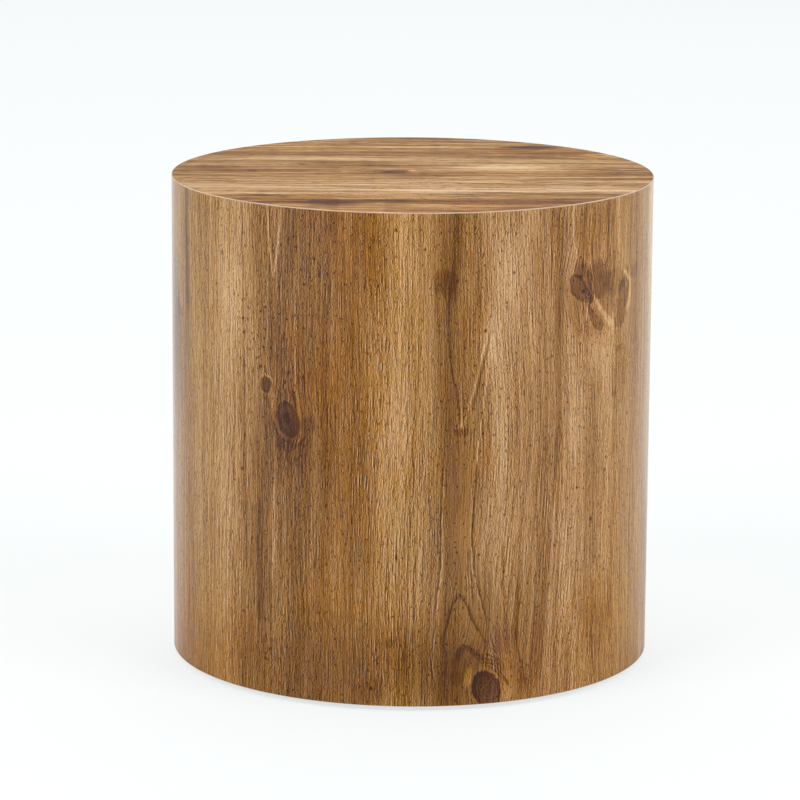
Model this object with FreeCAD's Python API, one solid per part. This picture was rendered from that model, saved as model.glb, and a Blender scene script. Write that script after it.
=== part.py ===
import FreeCAD, Part
import math
import os

# A drum-shaped coffee table. A round board lies on a hollow drum, whose wall is two layers of plywood
# bent round three ring formers and a circle of battens. Wood-grain laminate covers the wall and the
# board, and felt glides under the lowest former stand on the floor.
# Z is up, the origin is on the floor under the drum's centre, and the front faces -Y.
# All sizes are in millimetres.

# The whole drum
diameter = 400.0
body_height = 402.0

# Wood-grain laminate, and the plain sheet that balances it under the board
laminate = 0.8
laminate_seam = 0.3
arris = 0.4
balancer = 0.6

# Plywood wall, glued up in two layers
ply = 5.0
ply_seam = 0.6
glue_line = 0.2

# Round board under the top laminate
board = 15.0

# Ring formers
former = 15.0
ring_width = 54.0
notch_clearance = 0.3

# Battens between the upper and the lower former
batten_count = 8
batten_width = 18.0
batten_depth = 32.0

# Dowels that centre the board on the upper former
dowel_diameter = 8.0
dowel_margin = 7.0
dowel_cover = 5.0
dowel_chamfer = 1.0
dowel_clearance = 0.1
dowel_end_gap = 0.5

# Countersunk wood screws
screw_diameter = 4.0
screw_head_diameter = 8.0
screw_head_lip = 0.4
screw_head_set = 0.3
screw_point = 4.0
screw_clearance = 0.1
screw_end_gap = 0.5
recess_span = 4.4
recess_slot = 1.1
recess_depth = 1.5
top_screw_margin = 12.0
top_screw_cover = 5.0
batten_screw_bite = 25.0
notch_screw_bite = 14.0

# Headed pins that hold the inner layer of the wall to the formers
pin_diameter = 1.4
pin_head_diameter = 2.6
pin_head = 0.8
pin_bite = 14.0
pin_clearance = 0.05

# Nail-on felt glides
cup_diameter = 24.0
cup_height = 3.0
cup_web = 0.9
cup_rim = 1.8
cup_arris = 0.5
glide_margin = 4.0
felt_stand = 1.0
felt_clearance = 0.2
nail_diameter = 2.2
nail_head_diameter = 7.0
nail_head = 0.9
nail_cover = 3.0
nail_point = 2.5
nail_clearance = 0.1
nail_end_gap = 0.3

# How far every cutting tool runs past the face that it cuts
overrun = 1.0

# Radii from the outside in
outer_radius = diameter / 2
board_radius = outer_radius - laminate - glue_line
outer_wall_radius = board_radius
inner_wall_radius = outer_wall_radius - ply - glue_line
former_radius = inner_wall_radius - ply - glue_line
ring_bore = former_radius - ring_width
batten_inner = former_radius - batten_depth
batten_centre = former_radius - batten_depth / 2
notch_floor = batten_inner - notch_clearance
dowel_radius = former_radius - dowel_margin - dowel_diameter / 2
top_screw_radius = ring_bore + top_screw_margin + screw_head_diameter / 2
glide_radius = former_radius - glide_margin - cup_diameter / 2

# Heights from the floor up
felt_pocket = cup_height - cup_web - nail_head
stand_height = cup_height + felt_stand
wall_foot = stand_height
table_top = stand_height + body_height
board_top = table_top - laminate
board_foot = board_top - board
wall_head = board_foot - balancer
upper_former_foot = wall_head - former
base_former_head = wall_foot + former
middle_former_foot = (wall_foot + wall_head - former) / 2
middle_former_centre = middle_former_foot + former / 2

# Lengths of the fasteners
top_screw_length = former + balancer + board - top_screw_cover - screw_head_set
batten_screw_length = former + batten_screw_bite - screw_head_set
notch_screw_length = notch_floor - ring_bore + notch_screw_bite - screw_head_set
nail_length = cup_web + former - nail_cover
pin_length = ply + glue_line + pin_bite

# Directions round the drum, in degrees from +X towards +Y. A bay is the space between two battens.
back = 90.0
batten_step = 360.0 / batten_count
batten_angles = [batten_step * (k + 0.5) for k in range(batten_count)]
bay_angles = [batten_step * k for k in range(batten_count)]
dowel_angles = bay_angles[0::2]
glide_angles = bay_angles[1::2]
pin_angles = [a + side * batten_step / 4 for a in batten_angles for side in (-1, 1)]
outer_seam = batten_angles[batten_count // 4 - 1]
inner_seam = batten_angles[batten_count // 4]

origin = FreeCAD.Vector(0, 0, 0)
up = FreeCAD.Vector(0, 0, 1)


# A solid turned about Z from an outline of (radius, height) corners.
def turned(outline):
    corners = [FreeCAD.Vector(r, 0, z) for r, z in outline]
    face = Part.Face(Part.makePolygon(corners + corners[:1]))
    return face.revolve(origin, up, 360)


# A flat disc, or a ring if it has a bore.
def ring(radius, bore, foot, head):
    return turned([(bore, foot), (radius, foot), (radius, head), (bore, head)])


# A block that starts at one radius along +X, centred on the X axis in Y.
def radial_block(near, far, width, foot, head):
    corner = FreeCAD.Vector(near, -width / 2, foot)
    return Part.makeBox(far - near, width, head - foot, corner)


# The shape moved out along +X and up, and then swung round the drum.
def placed(shape, radius, height, angle):
    moved = shape.copy()
    moved.translate(FreeCAD.Vector(radius, 0, height))
    moved.rotate(origin, up, angle)
    return moved


# The shape, which points down -Z from its head, turned to point up.
def pointing_up(shape):
    turned_over = shape.copy()
    turned_over.rotate(origin, FreeCAD.Vector(1, 0, 0), 180)
    return turned_over


# The shape, which points down -Z from its head, turned to point outward along +X.
def pointing_out(shape):
    laid = shape.copy()
    laid.rotate(origin, FreeCAD.Vector(0, 1, 0), -90)
    return laid


# The shape, which points down -Z from its head, turned to point inward along -X.
def pointing_in(shape):
    laid = shape.copy()
    laid.rotate(origin, FreeCAD.Vector(0, 1, 0), 90)
    return laid


def cut(shape, tools):
    return shape.cut(Part.makeCompound(tools)) if tools else shape


def group(solids):
    return Part.makeCompound(solids)


# Countersunk wood screw. The top of its head is at the origin, and it points down -Z.
def wood_screw(length):
    head = screw_head_diameter / 2
    shank = screw_diameter / 2
    neck = -screw_head_lip - (head - shank)
    body = turned([
        (0, 0),
        (head, 0),
        (head, -screw_head_lip),
        (shank, neck),
        (shank, screw_point - length),
        (0, -length),
    ])
    corner = FreeCAD.Vector(-recess_span / 2, -recess_slot / 2, -recess_depth)
    slot = Part.makeBox(recess_span, recess_slot, recess_depth + overrun, corner)
    across = slot.copy()
    across.rotate(origin, up, 90)
    return body.cut(slot.fuse(across))


# The hole that a wood screw sits in, whose mouth is at the face that the screw was driven into.
def screw_hole(length):
    head = screw_head_diameter / 2 + screw_clearance
    shank = screw_diameter / 2 + screw_clearance
    lip = -screw_head_set - screw_head_lip
    foot = -screw_head_set - length - screw_end_gap
    return turned([
        (0, overrun),
        (head, overrun),
        (head, lip),
        (shank, lip - (head - shank)),
        (shank, foot),
        (0, foot),
    ])


# A screw that stands as deep below its face as a countersunk head is set.
def set_screw(length):
    screw = wood_screw(length)
    screw.translate(FreeCAD.Vector(0, 0, -screw_head_set))
    return screw


# Screws up through the upper former into the board, one in each bay.
def top_screws(make):
    tool = pointing_up(make(top_screw_length))
    return [placed(tool, top_screw_radius, upper_former_foot, a) for a in bay_angles]


# Screws down through the upper former into the heads of the battens.
def batten_head_screws(make):
    tool = make(batten_screw_length)
    return [placed(tool, batten_centre, wall_head, a) for a in batten_angles]


# Screws up through the base former into the feet of the battens.
def batten_foot_screws(make):
    tool = pointing_up(make(batten_screw_length))
    return [placed(tool, batten_centre, wall_foot, a) for a in batten_angles]


# Screws outward from the bore of the middle former into each batten.
def notch_screws(make):
    tool = pointing_out(make(notch_screw_length))
    return [placed(tool, ring_bore, middle_former_centre, a) for a in batten_angles]


# Headed pin, with the top of its head at the origin, or the hole that it is driven into.
def pin(grow, mouth):
    head = pin_head_diameter / 2 + grow
    shank = pin_diameter / 2 + grow
    return turned([
        (0, mouth),
        (head, mouth),
        (head, -pin_head),
        (shank, -pin_head),
        (shank, -pin_length - grow),
        (0, -pin_length - grow),
    ])


# Pins driven inward through the inner layer of the wall into the edge of one former.
def former_pins(foot, grow=0, mouth=0):
    tool = pointing_in(pin(grow, mouth))
    return [placed(tool, inner_wall_radius, foot + former / 2, a) for a in pin_angles]


# Nail of a glide. The underside of its head is at the origin, and it points up.
def glide_nail():
    head = nail_head_diameter / 2
    shank = nail_diameter / 2
    return turned([
        (0, -nail_head),
        (head, -nail_head),
        (head, 0),
        (shank, 0),
        (shank, nail_length - nail_point),
        (0, nail_length),
    ])


# The straight hole round a glide's nail, open at the base former's lower face.
def glide_nail_holes():
    radius = nail_diameter / 2 + nail_clearance
    length = nail_length - cup_web + nail_end_gap
    drill = Part.makeCylinder(radius, length + overrun, FreeCAD.Vector(0, 0, -overrun))
    return [placed(drill, glide_radius, wall_foot, a) for a in glide_angles]


# Nylon cup that holds the felt, with a stepped pocket below for the nail's head.
def glide_cup():
    rim = cup_diameter / 2
    pocket = rim - cup_rim
    nail_pocket = nail_head_diameter / 2 + nail_clearance
    bore = nail_diameter / 2 + nail_clearance
    return turned([
        (bore, 0),
        (rim, 0),
        (rim, cup_arris - cup_height),
        (rim - cup_arris, -cup_height),
        (pocket, -cup_height),
        (pocket, felt_pocket - cup_height),
        (nail_pocket, felt_pocket - cup_height),
        (nail_pocket, -cup_web),
        (bore, -cup_web),
    ])


# Felt disc, which stands out of its cup by felt_stand and rests on the floor.
def glide_felt():
    radius = cup_diameter / 2 - cup_rim - felt_clearance
    return Part.makeCylinder(radius, felt_stand + felt_pocket)


# Smooth beech dowel with a chamfer at each end. Its height zero is the upper former's upper face.
def dowel():
    radius = dowel_diameter / 2
    foot = dowel_cover - former + dowel_end_gap
    head = balancer + board - dowel_cover - dowel_end_gap
    return turned([
        (0, foot),
        (radius - dowel_chamfer, foot),
        (radius, foot + dowel_chamfer),
        (radius, head - dowel_chamfer),
        (radius - dowel_chamfer, head),
        (0, head),
    ])


def dowel_hole():
    radius = dowel_diameter / 2 + dowel_clearance
    foot = dowel_cover - former
    head = balancer + board - dowel_cover
    return Part.makeCylinder(radius, head - foot, FreeCAD.Vector(0, 0, foot))


def dowels(shape):
    return [placed(shape, dowel_radius, wall_head, a) for a in dowel_angles]


# A sheet bent round into a tube, whose two ends meet with a narrow gap on the given side.
def bent_sheet(radius, thickness, head, seam, seam_angle):
    tube = ring(radius, radius - thickness, wall_foot, head)
    near = radius - thickness - overrun
    slit = radial_block(near, radius + overrun, seam, wall_foot - overrun, head + overrun)
    return tube.cut(placed(slit, 0, 0, seam_angle))


# Grain-printed sheet over the board. Its rim is filed to a bevel after it is trimmed.
def top_laminate():
    return turned([
        (0, board_top),
        (outer_radius, board_top),
        (outer_radius, table_top - arris),
        (outer_radius - arris, table_top),
        (0, table_top),
    ])


# Grain-printed sheet round the wall and the board's edge, with its lower edge filed as well.
def side_laminate():
    bore = outer_radius - laminate
    tube = turned([
        (bore, wall_foot),
        (outer_radius - arris, wall_foot),
        (outer_radius, wall_foot + arris),
        (outer_radius, board_top),
        (bore, board_top),
    ])
    slit = radial_block(
        bore - overrun, outer_radius + overrun, laminate_seam, wall_foot - overrun, board_top + overrun
    )
    return tube.cut(placed(slit, 0, 0, back))


# Round board, drilled from below for the dowels and the top screws.
def top_board():
    disc = Part.makeCylinder(board_radius, board, FreeCAD.Vector(0, 0, board_foot))
    return cut(disc, dowels(dowel_hole()) + top_screws(screw_hole))


# Plain sheet glued under the board, so that the laminate above doesn't pull it out of flat.
def top_balancer():
    disc = Part.makeCylinder(board_radius, balancer, FreeCAD.Vector(0, 0, wall_head))
    return cut(disc, dowels(dowel_hole()) + top_screws(screw_hole))


def outer_wall():
    return bent_sheet(outer_wall_radius, ply, wall_head, ply_seam, outer_seam)


def inner_wall():
    sheet = bent_sheet(inner_wall_radius, ply, wall_head, ply_seam, inner_seam)
    holes = []
    for foot in (wall_foot, middle_former_foot, upper_former_foot):
        holes += former_pins(foot, pin_clearance, overrun)
    return cut(sheet, holes)


def upper_former():
    plate = ring(former_radius, ring_bore, upper_former_foot, wall_head)
    holes = dowels(dowel_hole()) + top_screws(screw_hole) + batten_head_screws(screw_hole)
    return cut(plate, holes + former_pins(upper_former_foot, pin_clearance, overrun))


# The middle former is slipped over the battens, so its rim has a notch for each of them.
def middle_former():
    head = middle_former_foot + former
    plate = ring(former_radius, ring_bore, middle_former_foot, head)
    notch = radial_block(
        notch_floor,
        former_radius + overrun,
        batten_width + 2 * notch_clearance,
        middle_former_foot - overrun,
        head + overrun,
    )
    notches = [placed(notch, 0, 0, a) for a in batten_angles]
    pins = former_pins(middle_former_foot, pin_clearance, overrun)
    return cut(plate, notches + notch_screws(screw_hole) + pins)


def base_former():
    plate = ring(former_radius, ring_bore, wall_foot, base_former_head)
    holes = batten_foot_screws(screw_hole) + glide_nail_holes()
    return cut(plate, holes + former_pins(wall_foot, pin_clearance, overrun))


# Battens stand between the upper and the base former. Their outer edge is planed to the wall's curve.
def batten(angle):
    block = radial_block(
        batten_inner, former_radius + overrun, batten_width, base_former_head, upper_former_foot
    )
    curve = Part.makeCylinder(
        former_radius, upper_former_foot - base_former_head, FreeCAD.Vector(0, 0, base_former_head)
    )
    stick = placed(block.common(curve), 0, 0, angle)
    k = batten_angles.index(angle)
    holes = [batten_head_screws(screw_hole)[k], batten_foot_screws(screw_hole)[k]]
    return cut(stick, holes + [notch_screws(screw_hole)[k]])


def wall_pins():
    pins = []
    for foot in (wall_foot, middle_former_foot, upper_former_foot):
        pins += former_pins(foot)
    return group(pins)


def glide_nails():
    nail = glide_nail()
    return group([placed(nail, glide_radius, wall_foot - cup_web, a) for a in glide_angles])


nodes = {
    "top_laminate": top_laminate(),
    "side_laminate": side_laminate(),
    "top_board": top_board(),
    "top_balancer": top_balancer(),
    "outer_wall_ply": outer_wall(),
    "inner_wall_ply": inner_wall(),
    "upper_former": upper_former(),
    "middle_former": middle_former(),
    "base_former": base_former(),
    "board_dowels": group(dowels(dowel())),
    "board_screws": group(top_screws(set_screw)),
    "batten_head_screws": group(batten_head_screws(set_screw)),
    "batten_foot_screws": group(batten_foot_screws(set_screw)),
    "middle_former_screws": group(notch_screws(set_screw)),
    "wall_pins": wall_pins(),
    "glide_nails": glide_nails(),
}
for number, angle in enumerate(batten_angles, 1):
    nodes[f"batten_{number}"] = batten(angle)
for number, angle in enumerate(glide_angles, 1):
    nodes[f"glide_cup_{number}"] = placed(glide_cup(), glide_radius, wall_foot, angle)
    nodes[f"glide_felt_{number}"] = placed(glide_felt(), glide_radius, 0, angle)

os.makedirs("parts", exist_ok=True)
for name, shape in nodes.items():
    shape.exportStep(os.path.join("parts", name + ".step"))
    state = "valid" if shape.isValid() else "INVALID"
    print(name, len(shape.Solids), "solids", round(shape.Volume), "mm3", state)
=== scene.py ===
import math

import bmesh
import bpy
import mathutils
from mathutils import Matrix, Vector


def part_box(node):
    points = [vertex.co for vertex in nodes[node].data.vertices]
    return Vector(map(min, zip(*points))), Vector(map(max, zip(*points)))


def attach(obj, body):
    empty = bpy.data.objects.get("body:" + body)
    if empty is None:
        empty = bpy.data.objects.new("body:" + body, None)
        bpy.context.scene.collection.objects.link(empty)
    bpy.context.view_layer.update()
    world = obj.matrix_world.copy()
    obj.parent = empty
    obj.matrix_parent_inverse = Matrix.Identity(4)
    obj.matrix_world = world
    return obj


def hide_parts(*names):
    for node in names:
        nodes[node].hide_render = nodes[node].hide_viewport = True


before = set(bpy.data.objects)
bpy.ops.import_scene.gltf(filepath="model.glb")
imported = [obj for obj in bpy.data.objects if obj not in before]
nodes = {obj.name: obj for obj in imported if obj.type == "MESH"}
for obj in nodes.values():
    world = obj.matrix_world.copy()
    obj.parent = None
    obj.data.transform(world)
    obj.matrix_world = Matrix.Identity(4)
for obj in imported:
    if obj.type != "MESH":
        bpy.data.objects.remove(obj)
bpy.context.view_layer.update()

mm = 0.001


# Camera
# It stands in front of the table, a little above the top, and looks down at it through a long lens.
camera_place = (0.0, -3.3068, 0.9288)
camera_turns = (77.783, -0.354, 0.238)
film_width = 36.0
lens_length = 181.05

camera = bpy.data.objects.new("camera", bpy.data.cameras.new("camera"))
camera.location = camera_place
camera.rotation_euler = [math.radians(turn) for turn in camera_turns]
camera.data.sensor_width = film_width
camera.data.lens = lens_length
bpy.context.scene.collection.objects.link(camera)
bpy.context.scene.camera = camera


# Studio
# A wide white floor under a sky that is white behind the table and dim in front of it, with two
# large soft lamps high in front and a weaker one high behind. The camera sees the floor near white.
floor_radius = 30.0
floor_edges = 96
floor_colour = (0.88, 0.9, 0.9, 1.0)
floor_roughness = 0.9
seen_white = (0.965, 1.0, 1.0, 1.0)
seen_share = 0.72
sky_white = (1.0, 1.0, 1.0, 1.0)
sky_in_front = 0.3
sky_behind = 1.0
sky_turn = (-0.6, 0.4)
lamp_aim = (0.0, 0.0, 0.2)
lamps = [
    # place, width, power
    ((-3.0, -2.6, 3.4), 2.6, 112.0),
    ((3.2, -2.2, 3.2), 2.6, 98.0),
    ((0.0, 3.6, 4.0), 3.0, 40.0),
]


class Tone:
    """A value, colour or place that varies over a surface. A sum with it adds nodes to its material."""

    def __init__(self, socket):
        self.socket = socket
        self.tree = socket.node.id_data

    def node(self, kind, *inputs, output=0, **settings):
        return node(self.tree, kind, *inputs, output=output, **settings)

    def math(self, operation, *others):
        return self.node("Math", self, *others, operation=operation)

    def __add__(self, other):
        return self.math("ADD", other)

    def __sub__(self, other):
        return self.math("SUBTRACT", other)

    def __mul__(self, other):
        return self.math("MULTIPLY", other)

    def __truediv__(self, other):
        return self.math("DIVIDE", other)

    def __abs__(self):
        return self.math("ABSOLUTE")

    def plus(self, share, amount):
        return self.node("Math", share, amount, self, operation="MULTIPLY_ADD")

    def spread(self, low, high, to_low=0.0, to_high=1.0):
        return self.node("MapRange", self, low, high, to_low, to_high)

    def fade(self, low, high, to_low=0.0, to_high=1.0):
        smooth = {"interpolation_type": "SMOOTHSTEP", "clamp": False}
        return self.node("MapRange", self, low, high, to_low, to_high, **smooth)

    def parts(self):
        split = self.tree.nodes.new("ShaderNodeSeparateXYZ")
        feed(split.inputs[0], self)
        return [Tone(socket) for socket in split.outputs]


def node(tree, kind, *inputs, output=0, **settings):
    made = tree.nodes.new("ShaderNode" + kind)
    for name, value in settings.items():
        setattr(made, name, value)
    for socket, value in zip(made.inputs, inputs):
        feed(socket, value)
    return Tone(made.outputs[output])


def feed(socket, value):
    if isinstance(value, Tone):
        value.tree.links.new(value.socket, socket)
    elif value is not None:
        socket.default_value = value


floor_mesh = bpy.data.meshes.new("floor")
shape = bmesh.new()
bmesh.ops.create_circle(shape, cap_ends=True, radius=floor_radius, segments=floor_edges)
shape.to_mesh(floor_mesh)
shape.free()
floor = bpy.data.objects.new("floor", floor_mesh)
bpy.context.scene.collection.objects.link(floor)

floor_paint = bpy.data.materials.new("floor_paint")
floor_paint.use_nodes = True
tree = floor_paint.node_tree
floor_shader = tree.nodes["Principled BSDF"]
floor_shader.inputs["Base Color"].default_value = floor_colour
floor_shader.inputs["Roughness"].default_value = floor_roughness
floor_shader.inputs["Specular IOR Level"].default_value = 0.0
seen = node(tree, "LightPath") * seen_share
white = node(tree, "Emission", seen_white, 1.0)
floor_look = node(tree, "MixShader", seen, Tone(floor_shader.outputs[0]), white)
feed(tree.nodes["Material Output"].inputs["Surface"], floor_look)
floor.data.materials.append(floor_paint)

sky = bpy.data.worlds.new("studio_sky")
sky.use_nodes = True
sky_light = sky.node_tree.nodes["Background"]
sky_light.inputs["Color"].default_value = sky_white
behind = node(sky.node_tree, "TexCoord").parts()[1]
feed(sky_light.inputs["Strength"], behind.fade(*sky_turn, sky_in_front, sky_behind))
bpy.context.scene.world = sky

aim = bpy.data.objects.new("lamp_aim", None)
aim.location = lamp_aim
bpy.context.scene.collection.objects.link(aim)
for number, (place, width, power) in enumerate(lamps, 1):
    lamp = bpy.data.objects.new(f"lamp_{number}", bpy.data.lights.new(f"lamp_{number}", "AREA"))
    lamp.data.size = width
    lamp.data.energy = power
    lamp.location = place
    bpy.context.scene.collection.objects.link(lamp)
    follow = lamp.constraints.new("TRACK_TO")
    follow.target = aim
    follow.track_axis = "TRACK_NEGATIVE_Z"
    follow.up_axis = "UP_Y"

bpy.context.scene.view_settings.view_transform = "Standard"


# Ring formers
# Three rings sawn from 15 mm fibreboard carry the wall: one under the board, one half-way up and one
# at the foot. Their faces are sanded and their sawn edges are darker and rougher.
fibreboard_colours = [(0.0, (136, 104, 72)), (0.5, (166, 132, 96)), (1.0, (190, 158, 120))]
noise_span = (0.3, 0.7)
sawn_turn = (0.8, 0.3)


def paint(red, green, blue):
    """A colour as a paint chart gives it, from 0 to 255, in the even values that light needs."""
    shares = [level / 255 for level in (red, green, blue)]
    return [s / 12.92 if s < 0.0405 else ((s + 0.055) / 1.055) ** 2.4 for s in shares] + [1.0]


def ramp(share, stops):
    """Reads a row of paint colours at a share from 0 to 1."""
    made = share.tree.nodes.new("ShaderNodeValToRGB")
    feed(made.inputs[0], share)
    elements = made.color_ramp.elements
    elements[0].position = stops[0][0]
    elements[1].position = stops[-1][0]
    for place, colour in stops[1:-1]:
        elements.new(place)
    for element, (place, colour) in zip(elements, stops):
        element.color = paint(*colour)
    return Tone(made.outputs[0])


def cloud(place, size, start=0.0, detail=2.0):
    """Soft noise from -1 to 1, whose spots have the given size."""
    scale = [1 / length for length in size]
    spots = place.node("Mapping", place, (start, start, start), (0.0, 0.0, 0.0), scale)
    return place.node("TexNoise", spots, None, 1.0, detail).spread(*noise_span, -1.0, 1.0)


class Finish:
    """A material under way: its shader, and where each point lies in millimetres."""

    def __init__(self, name, gloss):
        self.material = bpy.data.materials.new(name)
        self.material.use_nodes = True
        self.tree = self.material.node_tree
        self.shader = self.tree.nodes["Principled BSDF"]
        self.shader.inputs["Specular IOR Level"].default_value = gloss
        point = node(self.tree, "TexCoord", output=3)
        self.place = point.node("VectorMath", point, [1 / mm] * 3, operation="MULTIPLY")

    def lay(self, colour, roughness, height, depth):
        """Puts on the colour, the roughness and a relief of the given depth in millimetres."""
        feed(self.shader.inputs["Base Color"], colour)
        feed(self.shader.inputs["Roughness"], roughness)
        relief = self.tree.nodes.new("ShaderNodeBump")
        relief.inputs["Distance"].default_value = depth * mm
        feed(relief.inputs["Height"], height)
        feed(self.shader.inputs["Normal"], Tone(relief.outputs[0]))

    def on(self, *names):
        """Puts the material on construction pieces."""
        for name in names:
            skins = nodes[name].data.materials
            skins.clear()
            skins.append(self.material)


fibreboard = Finish("fibreboard", 0.2)
facing = node(fibreboard.tree, "NewGeometry", output=1).parts()[2]
sawn = abs(facing).fade(*sawn_turn)
fibres = cloud(fibreboard.place, (0.5, 0.5, 0.5), 3.0, 3.0)
bundles = cloud(fibreboard.place, (2.4, 2.4, 0.7), 9.0)
stains = cloud(fibreboard.place, (40.0, 40.0, 40.0), 5.0)
shade = (fibres * 0.16 + 0.5).plus(bundles, 0.14).plus(stains, 0.16).plus(sawn, -0.25)
fibreboard.lay(ramp(shade, fibreboard_colours), sawn.spread(0, 1, 0.72, 0.9), fibres, 0.06)
fibreboard.on("upper_former", "middle_former", "base_former")


# Battens
# Eight uprights of planed pine stand between the top and the foot ring and carry the middle one.
# Their growth rings show as orange lines along the faces and as arcs on the ends.
pine_colours = [(0.0, (178, 124, 70)), (0.45, (214, 170, 112)), (1.0, (234, 200, 148))]
pine_heart = (31.0, -17.0, 0.0)
ring_spacing = 2.6
plane_step = 2.2

pine = Finish("pine", 0.3)
log = pine.place.node("Mapping", pine.place, pine_heart, (0.0, 0.0, 0.0), (1.0, 1.0, 0.02))
drift = cloud(pine.place, (30.0, 30.0, 260.0), 2.0)
rings = log.node("VectorMath", log, output=1, operation="LENGTH").plus(drift, 3.0)
late_wood = (rings * (2 * math.pi / ring_spacing)).math("SINE").fade(0.1, 1.0)
pores = cloud(pine.place, (0.4, 0.4, 14.0), 4.0)
warmth = cloud(pine.place, (14.0, 14.0, 120.0), 6.0)
plane_marks = (pine.place.parts()[2] * (2 * math.pi / plane_step)).math("SINE")
shade = (late_wood * -0.5 + 0.75).plus(pores, 0.1).plus(warmth, 0.12)
pine.lay(ramp(shade, pine_colours), shade.spread(0, 1, 0.62, 0.5), pores.plus(plane_marks, 0.3), 0.04)
pine.on(*[f"batten_{k}" for k in range(1, 9)])


# Screws, pins and nails
# Countersunk steel screws hold the battens and the board, headed pins the inner plywood, and a nail
# each glide. All are zinc plated, a little yellow and cloudy, and dull where a driver has rubbed.
zinc_colours = [(0.0, (150, 142, 118)), (0.5, (196, 192, 178)), (1.0, (222, 220, 212))]

zinc = Finish("zinc_plate", 0.5)
zinc.shader.inputs["Metallic"].default_value = 1.0
clouding = cloud(zinc.place, (2.2, 2.2, 2.2), 7.0)
scratches = cloud(zinc.place, (0.15, 1.6, 0.3), 1.0, 3.0)
zinc.lay(
    ramp((clouding * 0.3 + 0.55).plus(scratches, 0.15), zinc_colours),
    (clouding * 0.08 + 0.38).plus(scratches, 0.08),
    scratches,
    0.01,
)
zinc.on(
    "board_screws", "batten_head_screws", "batten_foot_screws", "middle_former_screws",
    "wall_pins", "glide_nails",
)


# Plywood walls
# Two layers of bending plywood are rolled round the rings and glued face to face, the seam of each
# away from the other's. The grain runs up and down, and each layer is three veneers thick.
veneer_colours = [(0.0, (146, 98, 62)), (0.5, (190, 142, 100)), (1.0, (214, 172, 130))]
ply_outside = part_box("outer_wall_ply")[1].x / mm
ply_step = ply_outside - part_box("inner_wall_ply")[1].x / mm
core_middle = ply_step * 0.48
core_half = ply_step * 0.16
glue_line = 0.1

plywood = Finish("bending_plywood", 0.2)
right, away, up = plywood.place.parts()
radius = right.node("CombineXYZ", right, away)
radius = radius.node("VectorMath", radius, output=1, operation="LENGTH")
layer = (radius * -1.0 + (ply_outside + glue_line)).math("MODULO", ply_step)
core = abs(layer - core_middle).fade(core_half + glue_line, core_half - glue_line)
figure = cloud(plywood.place, (9.0, 9.0, 150.0), 2.0, 3.0)
grain = cloud(plywood.place, (1.1, 1.1, 40.0), 8.0)
pores = cloud(plywood.place, (0.45, 0.45, 5.0), 5.0, 1.0).fade(0.35, 0.9)
stains = cloud(plywood.place, (60.0, 60.0, 90.0), 3.0)
shade = (figure * 0.16 + 0.55).plus(grain, 0.1).plus(stains, 0.1).plus(pores, -0.22).plus(core, -0.2)
plywood.lay(ramp(shade, veneer_colours), shade.spread(0, 1, 0.85, 0.7), grain.plus(pores, -1.0), 0.08)
plywood.on("inner_wall_ply", "outer_wall_ply")


# Board and dowels
# The top is a round of the same fibreboard, centred on the upper ring by four beech dowels.
beech_colours = [(0.0, (150, 104, 70)), (0.5, (204, 160, 118)), (1.0, (226, 188, 148))]

beech = Finish("beech", 0.3)
flecks = cloud(beech.place, (0.25, 0.25, 1.6), 6.0, 1.0).fade(0.3, 0.8)
grain = cloud(beech.place, (1.4, 1.4, 16.0), 2.0)
beech.lay(
    ramp((grain * 0.15 + 0.65).plus(flecks, -0.4), beech_colours),
    grain.spread(-1, 1, 0.5, 0.62),
    grain.plus(flecks, -0.6),
    0.03,
)
beech.on("board_dowels")
fibreboard.on("top_board")


# Balancing sheet
# A plain brown paper laminate under the board keeps it from warping. It has a faint fibre and a few
# pale scuffs.
paper_colours = [(0.0, (150, 124, 94)), (0.5, (184, 158, 124)), (1.0, (206, 184, 154))]

paper = Finish("balancing_paper", 0.35)
fibres = cloud(paper.place, (0.35, 3.0, 1.0), 4.0, 3.0)
scuffs = cloud(paper.place, (50.0, 4.0, 4.0), 8.0, 3.0).fade(0.45, 0.9)
stains = cloud(paper.place, (45.0, 60.0, 10.0), 1.0)
paper.lay(
    ramp((fibres * 0.14 + 0.5).plus(stains, 0.12).plus(scuffs, 0.25), paper_colours),
    scuffs.spread(0, 1, 0.6, 0.75),
    fibres,
    0.02,
)
paper.on("top_balancer")


# Side sheet
# A laminate with a printed wood grain, 0.8 mm thick, that runs up and down the wall. It is glued
# round the plywood and the board's edge, and its two ends meet in a fine seam at the back.
side_low, side_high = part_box("side_laminate")
side_radius = side_high.x
sheet = 0.8 * mm
arris = 0.4 * mm
seam_gap = 0.3 * mm
round_steps = 720
crease = math.radians(30)
edge_colours = [(0.0, (150, 118, 92)), (0.5, (196, 168, 144)), (1.0, (226, 204, 184))]
print_gloss = 0.1
film_bend = 1.19
film_roughness = 0.22

# Paint colours of the print from its darkest line to its palest wood, in warm and in cool patches
warm_row = [
    (0.05, (64, 28, 4)),
    (0.16, (84, 46, 4)),
    (0.27, (105, 63, 10)),
    (0.41, (127, 83, 22)),
    (0.57, (153, 107, 46)),
    (0.66, (164, 120, 60)),
    (0.75, (176, 132, 74)),
    (0.93, (201, 165, 116)),
    (1.0, (212, 178, 132)),
]
cool_row = [
    (0.05, (56, 34, 26)),
    (0.16, (76, 50, 34)),
    (0.27, (99, 67, 42)),
    (0.41, (125, 87, 52)),
    (0.57, (151, 109, 67)),
    (0.66, (161, 122, 78)),
    (0.75, (171, 134, 91)),
    (0.93, (200, 165, 127)),
    (1.0, (211, 178, 142)),
]

# What a red share of 1 adds to the red, green and blue of a colour, over its plain shares
red_turn = (0.012, -0.0165, 0.0)
plain_turn = (1.0, 1.0, 1.0)

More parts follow.
